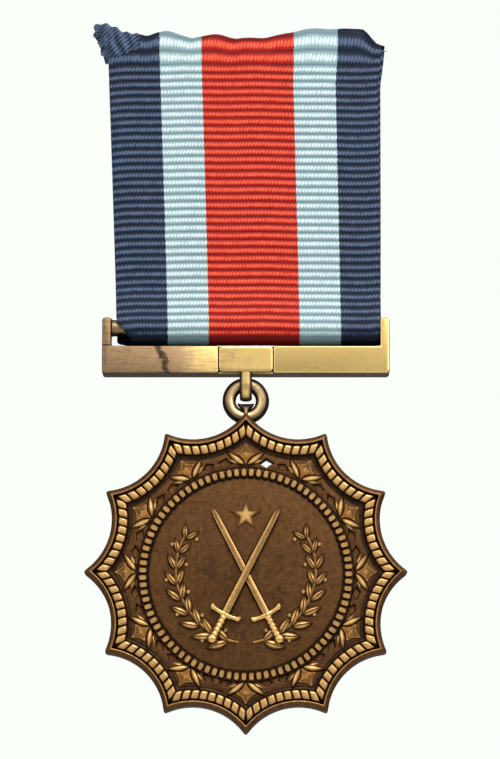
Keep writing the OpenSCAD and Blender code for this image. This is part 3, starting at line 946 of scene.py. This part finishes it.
def make_medallion(material):
    """The disc, a profile turned about its centre, with its beads round the edge. A bead is a ball
    whose cosines are raised to a power below one, which squares it off."""
    profile = [(DISC_R - 0.6, DISC_BACK, 0.2), (DISC_R, DISC_BACK + 0.05, 0.2),
               (DISC_R, DISC_TOP - 0.1, 0.3), (DISC_R - 0.08, DISC_TOP, 0.4),
               (DISC_R - 0.2, DISC_TOP + 0.02, 0.2), (DOME_R + 0.05, DISC_TOP - 0.04, 0.12),
               (DOME_R - 0.08, DISC_TOP - 0.04, 0.12), (DOME_R - 0.2, DISC_TOP + 0.02, 0.2)]
    for radius in np.linspace(DOME_R - 0.35, 0.4, 22):
        profile.append((radius, dome_level(radius), 0.28 + 0.03 * radius / DOME_R))
    radius, level, wear = (np.array(v)[:, None] for v in zip(*profile))
    columns = 180
    angle = np.linspace(0, TAU, columns, endpoint=False)[None, :]
    points = grid_of(radius * np.cos(angle), radius * np.sin(angle), level)
    disc = capped(on_star(points, DISC_Z), len(profile), columns, wear)
    up = np.linspace(-math.pi / 2, math.pi / 2, 7)[1:-1, None]
    around = np.linspace(0, TAU, 12, endpoint=False)[None, :]

    def square_off(v):
        return np.sign(v) * np.abs(v) ** 0.6

    bead = grid_of(0.59 * square_off(np.cos(up) * np.cos(around)),
                   0.4 * square_off(np.cos(up) * np.sin(around)), 0.44 * np.sin(up))
    bead_wear = np.broadcast_to(np.clip(0.05 + 0.8 * np.sin(up), 0, 1), bead.shape[:2])
    shells = [disc]
    for k in range(BEADS):
        pillow = bead + np.array([DISC_R - BEAD_BAND / 2, 0, DISC_TOP + 0.1])
        shells.append(capped(on_star(turned(pillow, TAU * k / BEADS), DISC_Z), *bead.shape[:2], bead_wear))
    make_piece("medallion_disc", shells, material, "star", ("centre_medallion",))


def sword_shells(side, lift):
    """A straight sword: a ridged blade that tapers to a point, a bowed guard, a wire-bound grip and a
    round pommel, leaning to one side."""
    hilt, tip, butt = -0.3 * SWORD_L, 0.5 * SWORD_L, -0.5 * SWORD_L
    t = np.linspace(0, 1, 22)
    y = hilt + (tip - hilt) * t
    base = dome_level(np.abs(y)) - 0.25 + lift
    width = np.where(t < 0.9, 0.62 - 0.16 * t, 0.476 * np.clip((1 - t) / 0.1, 0, 1) ** 0.7)
    s = np.array([-1, -0.62, -0.2, 0, 0.2, 0.62, 1])[None, :]
    ridge = np.array([0.0, 0.42, 0.5, 0.62, 0.5, 0.42, 0.0])[None, :]
    level = base[:, None] + 0.25 + ridge * (width[:, None] / 0.5) ** 0.3
    blade = grid_of(s * width[:, None], y[:, None], level)
    wear = np.broadcast_to(np.array([0.35, 0.8, 0.7, 1, 0.7, 0.8, 0.35]), blade.shape[:2])
    parts = [with_floor(blade, wear, base[:, None] - 0.25)]
    around = np.linspace(0, TAU, 14, endpoint=False)[None, :]

    def turned_part(stations, radii, along_x=False, bow=0.0):
        """A round section at each station along the grip, or across it along a bow in the guard."""
        stations, radii = np.asarray(stations, float)[:, None], np.asarray(radii, float)[:, None]
        a, b = radii * np.cos(around), radii * np.sin(around)
        if along_x:
            grid = grid_of(stations, hilt + a - bow * stations**2, b)
        else:
            grid = grid_of(a, stations, b)
        grid[..., 2] += dome_level(abs(hilt)) + 0.2 + lift
        glow = np.clip(0.35 + 0.65 * np.sin(around) + 0 * stations, 0, 1)
        parts.append((grid, glow))

    grip = np.linspace(butt + 0.7, hilt - 0.1, 40)
    turned_part(grip, 0.46 + 0.07 * np.cos((grip - butt) * TAU / 0.55))
    ball = np.linspace(-1, 1, 9)[1:-1]
    turned_part(butt + 0.45 + 0.62 * ball, 0.66 * np.sqrt(1 - ball**2))
    bar = np.linspace(-1.9, 1.9, 25)
    knobs, boss = np.exp(-(((np.abs(bar) - 1.7) / 0.2) ** 2)), np.exp(-((bar / 0.4) ** 2))
    turned_part(bar, 0.3 + 0.16 * knobs + 0.14 * boss, along_x=True, bow=-0.08)
    return [capped(on_star(turned(grid, side * SWORD_LEAN), DISC_Z), *grid.shape[:2], wear)
            for grid, wear in parts]


def make_device(material):
    """The raised device: crossed swords inside two laurel branches, under a five-pointed star."""
    shells = sword_shells(1, 0.0) + sword_shells(-1, 0.3)
    leaf = leaf_grid(2.9, 0.66, 0.55, belly=0.45, groove=0.4)
    berry_up = np.linspace(-1.2, 1.2, 5)[:, None]
    around = np.linspace(0, TAU, 8, endpoint=False)[None, :]
    berry = 0.26 * grid_of(np.cos(berry_up) * np.cos(around), np.cos(berry_up) * np.sin(around),
                           np.sin(berry_up))
    turn = np.linspace(math.radians(-84), math.radians(36), 50)
    for side in (-1, 1):
        stem_r = LAUREL_R + 0.25 * np.sin(turn * 2)
        path = np.stack([side * stem_r * np.cos(turn), stem_r * np.sin(turn), dome_level(stem_r) + 0.05], -1)
        up = np.tile([0, 0, 1.0], (len(path), 1))
        stem = swept(path, np.cross(up, unit_slope(path)), up, rounded_profile(0.34, 0.4, 0.15, 3))
        stem["points"] = on_star(stem["points"], DISC_Z)
        shells.append(stem)
        for k in range(LEAF_PAIRS):
            at = math.radians(-76 + 13.2 * k)
            size = 1 - 0.035 * k
            x, y = LAUREL_R * math.cos(at), LAUREL_R * math.sin(at)
            for out in (-1, 1):
                lean = -(at + out * 0.52)
                grid, wear = leaf
                placed = turned(grid * [size, size, 1], -lean) * [side, 1, 1]
                shift = [side * x, y, dome_level(LAUREL_R) - 0.02]
                shells.append(capped(on_star(placed + shift, DISC_Z), *grid.shape[:2], wear))
            far = LAUREL_R + 1.15 * (1 if k % 2 else -1)
            spot = [side * far * math.cos(at + 0.1), far * math.sin(at + 0.1), dome_level(far) + 0.1]
            shells.append(capped(on_star(berry + spot, DISC_Z), *berry.shape[:2], 0.8))
    corner = np.arange(10)
    reach = np.where(corner % 2 == 0, 1.95, 0.82)
    centre = np.array([0, SMALL_STAR_Y])
    plan = centre + np.stack([reach * np.sin(corner * TAU / 10), reach * np.cos(corner * TAU / 10)], -1)
    rows = [(1.0, -0.3, 0.0), (1.0, 0.12, 0.4), (0.55, 0.38, 0.8), (0.05, 0.62, 1.0)]
    grid, wear = stepped(plan, centre, rows, dome_level(SMALL_STAR_Y))
    shells.append(capped(on_star(grid, DISC_Z), *grid.shape[:2], wear))
    make_piece("raised_device", shells, material, "star", sharp=30)


# --------------------------------------------------------- thread, stage, camera


def make_stitching(material):
    """The blind running stitch: round thread carried along long stitches behind and short ones inside."""
    low, high = corners_mm("ribbon_stitching")
    z = (low[2] + high[2]) / 2
    radius = (high[2] - low[2]) / 2
    count = 13
    pitch = 0.9 * RIBBON_W / (count - 1)
    half = 0.31 * pitch
    stops = []
    for k in range(count):
        centre = (k - (count - 1) / 2) * pitch
        stops += [(centre - half, low[1] + 0.2), (centre - half, -0.12), (centre + half, -0.12),
                  (centre + half, low[1] + 0.2)]
    stops = np.array(stops)
    along = np.concatenate([[0], np.cumsum(np.hypot(*np.diff(stops, axis=0).T))])
    at = np.arange(0, along[-1], 0.12)
    x, y = (np.interp(at, along, stops[:, k]) for k in (0, 1))
    kernel = np.array([1, 2, 1]) / 4
    x[1:-1], y[1:-1] = np.convolve(x, kernel, "valid"), np.convolve(y, kernel, "valid")
    path = np.stack([x, y, np.full_like(x, z)], -1)
    up = np.tile([0, 0, 1.0], (len(path), 1))
    turn = np.linspace(0, TAU, 8, endpoint=False)
    profile = radius * np.stack([np.cos(turn), np.sin(turn)], -1)
    stitches = swept(path, np.cross(up, unit_slope(path)), up, profile)
    make_piece("hem_thread", [stitches], material, "ribbon", ("ribbon_stitching",))


def area_light(name, place, aim, size, power):
    """A soft rectangular light at a place, turned to face its aim."""
    light = bpy.data.lights.new(name, "AREA")
    light.shape = "RECTANGLE"
    light.size, light.size_y = size
    light.energy = power
    lamp = add_object(name, light)
    lamp.location = place
    way = np.array(aim) - np.array(place)
    lamp.rotation_euler = Vector(way).to_track_quat("-Z", "Y").to_euler()


def make_stage():
    """A pale floor below the medal, soft lights, and a near-white surround."""
    floor_z = star_low[2] * MM - 0.2
    half = 0.6
    corners = [(x * half, y * half, floor_z) for x, y in ((-1, -1), (1, -1), (1, 1), (-1, 1))]
    mesh = bpy.data.meshes.new("floor")
    mesh.from_pydata(corners, [], [(0, 1, 2, 3)])
    floor = add_object("floor", mesh)
    material, _, shader = new_material("pale_floor")
    shader.inputs["Base Color"].default_value = (0.86, 0.87, 0.85, 1)
    shader.inputs["Roughness"].default_value = 0.8
    mesh.materials.append(material)
    world = bpy.data.worlds.new("studio")
    bpy.context.scene.world = world
    world.use_nodes = True
    n = Nodes(world.node_tree)
    background = world.node_tree.nodes["Background"]
    seen = n.add("ShaderNodeLightPath").outputs["Is Camera Ray"]
    way = n.add("ShaderNodeSeparateXYZ")
    n.wire(n.add("ShaderNodeTexCoord").outputs["Generated"], way.inputs[0])
    front = n.span(way.outputs["Y"], 0.5, -0.7)
    above = n.span(way.outputs["Z"], -0.35, 0.55)
    glow = n.math("MULTIPLY_ADD", n.math("MULTIPLY", front, above), 0.68, 0.17)
    grey = n.add("ShaderNodeCombineColor")
    for k in range(3):
        n.wire(glow, grey.inputs[k])
    n.wire(n.mix(seen, grey.outputs[0], (0.96, 1.0, 0.95, 1)), background.inputs["Color"])
    background.inputs["Strength"].default_value = 1.0
    bpy.context.scene.view_settings.view_transform = "Standard"
    middle = (0, HANG_Y * MM, -0.04)
    area_light("key", (0.06, -0.3, 0.28), middle, (0.16, 0.16), 0.9)
    area_light("behind", (0.15, 0.4, 0.2), middle, (0.3, 0.3), 1.1)
    area_light("fill", (-0.34, -0.3, 0.05), middle, (0.3, 0.3), 0.25)
    area_light("right", (0.3, -0.32, 0.1), middle, (0.25, 0.2), 0.4)


def make_camera():
    """A long lens, square on from slightly below."""
    data = bpy.data.cameras.new("camera")
    camera = add_object("camera", data)
    bpy.context.scene.camera = camera
    distance, tilt, tall = 0.42, math.radians(11), 0.0914
    target = Vector((0.0005, HANG_Y * MM, -0.0370))
    back = Vector((0, -math.cos(tilt), -math.sin(tilt)))
    camera.location = target + back * distance
    camera.rotation_euler = (-back).to_track_quat("-Z", "Y").to_euler()
    data.sensor_fit = "VERTICAL"
    data.sensor_height = 24
    data.sensor_width = 36
    data.lens = data.sensor_height * distance / tall
    data.clip_start, data.clip_end = 0.01, 10


make_camera()
make_stage()

patina = patina_group()
star_bronze = bronze("star_bronze", patina, hollow=(0.03, 0.016, 0.009), ground=(0.205, 0.09, 0.028),
                     rubbed=(0.92, 0.56, 0.2), side_shade=0.35, bump=0.25)
bar_bronze = bronze("bar_bronze", patina, hollow=(0.05, 0.03, 0.02), ground=(0.42, 0.27, 0.14),
                    rubbed=(1.0, 0.7, 0.25), side_shade=0.85, extra_dimming=bar_reflection_seam_and_streaks)
ring_bronze = bronze("ring_bronze", patina, hollow=(0.03, 0.02, 0.014), ground=(0.32, 0.2, 0.1),
                     rubbed=(0.95, 0.7, 0.36), side_shade=0.9, facing_span=(0.55, 0.98))
silk = ribbon_material()
thread = thread_material()

cloth, cloth_length = make_ribbon(silk)
loose = [make_raw_end(silk), make_loose_threads(thread)]
make_stitching(thread)
bevelled_copy("suspender_frame", "suspender_frame_bronze", bar_bronze, "suspender", 0.22, 0.95)
make_strap(bar_bronze)
make_ring(ring_bronze)
make_eyelet(ring_bronze)
make_star_plate(star_bronze)
make_rope(star_bronze)
make_motifs(star_bronze)
make_medallion(star_bronze)
make_device(star_bronze)
